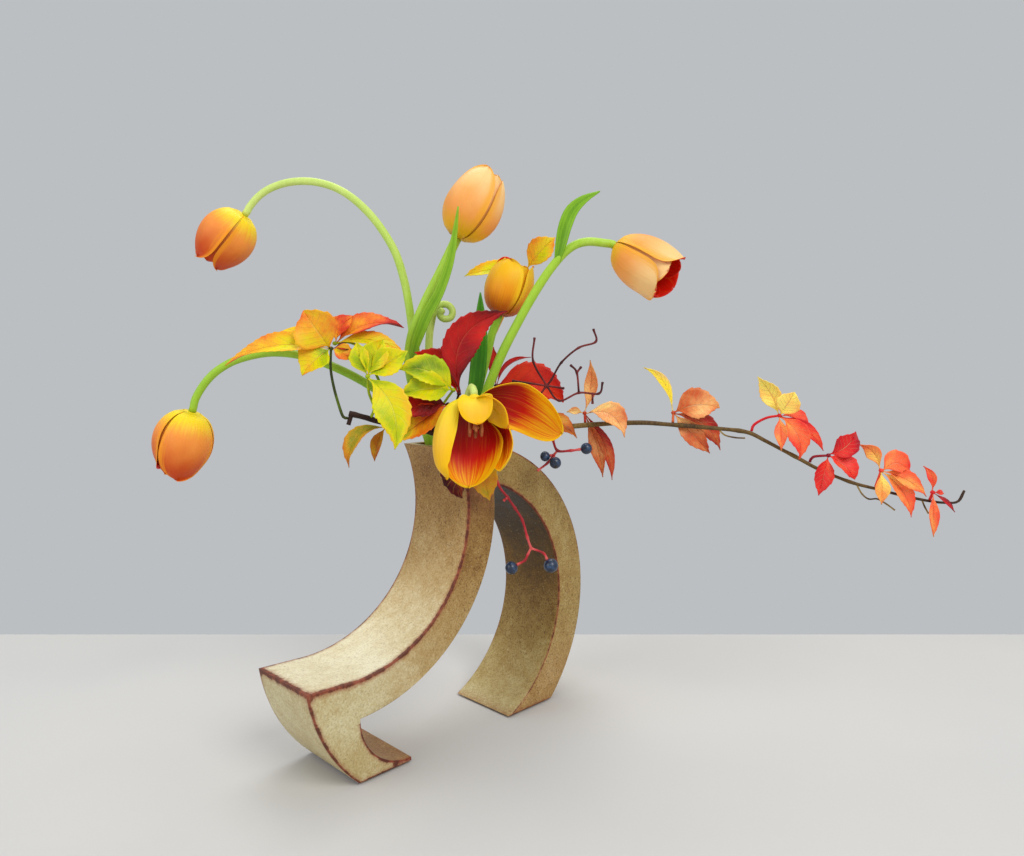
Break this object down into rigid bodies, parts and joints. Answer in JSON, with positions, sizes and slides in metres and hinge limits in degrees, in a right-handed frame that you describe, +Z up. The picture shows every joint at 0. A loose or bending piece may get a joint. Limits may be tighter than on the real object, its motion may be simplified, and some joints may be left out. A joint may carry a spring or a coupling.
{
  "type": "ikebana arrangement",
  "caption": "Ikebana arrangement: orange tulips, autumn creeper leaves and dark berries in a stoneware vase shaped as two curved legs.",
  "frame": {"origin": "middle of the bounding box in plan, on the surface that the vase stands on", "axes": "+X to the viewer's right, along the trailing vine, +Y away from the viewer, +Z up"},
  "size_m": [0.6306, 0.2508, 0.4587],
  "materials": {
    "stoneware": "matte",
    "water": "gloss",
    "felt": "matte",
    "tulip_stem": "satin",
    "tulip_leaf": "satin",
    "pale_shoot": "satin",
    "petal": "satin",
    "petal_deep": "satin",
    "stamen": "matte",
    "bark": "matte",
    "vine": "matte",
    "leaf_orange": "satin",
    "leaf_yellow_green": "satin",
    "leaf_olive": "satin",
    "leaf_red": "satin",
    "leaf_maroon": "satin",
    "leaf_dry": "matte",
    "leaf_scarlet": "satin",
    "berry_stalk": "satin",
    "bare_stalk": "matte",
    "berry": "satin"
  },
  "bodies": {
    "root": {"vase": "stoneware", "water": "water", "foot_pad_left_front": "felt", "foot_pad_left_back": "felt", "foot_pad_right_front": "felt", "foot_pad_right_back": "felt", "tulip_stem_far_left": "tulip_stem", "tulip_bloom_far_left": "petal", "tulip_stem_upper_left": "tulip_stem", "tulip_bloom_upper_left": "petal", "tulip_stem_top": "tulip_stem", "tulip_bloom_top": "petal", "tulip_stem_center": "tulip_stem", "tulip_bloom_center": "petal", "tulip_stem_right": "tulip_stem", "tulip_bloom_right": "petal", "tulip_stem_front": "tulip_stem", "tulip_bloom_front": "petal_deep", "tulip_stamens": "stamen", "tulip_leaf_center": "tulip_leaf", "curled_shoot": "pale_shoot", "creeper_vine": "vine", "creeper_twig": "bark", "leaf_far_left": "leaf_orange", "leaf_left_red": "leaf_red", "leaf_yellow_green": "leaf_yellow_green", "leaf_hooked": "leaf_olive", "leaf_center_green": "leaf_yellow_green", "leaf_center_red": "leaf_maroon", "leaf_maroon_low": "leaf_maroon", "leaf_under_tulip": "leaf_olive", "leaf_behind_red": "leaf_maroon", "leaf_behind_brown": "leaf_olive", "leaf_top_orange": "leaf_orange", "leaf_dry": "leaf_dry", "leaf_terracotta": "leaf_dry", "leaf_coral": "leaf_scarlet", "leaf_scarlet": "leaf_scarlet", "leaf_star": "leaf_scarlet", "leaf_tip_red": "leaf_scarlet", "berry_stalk_front": "berry_stalk", "berry_stalk_right": "berry_stalk", "bare_panicle": "bare_stalk", "berry_front_left": "berry", "berry_front_right": "berry", "berry_right_end": "berry", "berry_right_upper": "berry", "berry_right_lower": "berry"}
  },
  "joints": []
}
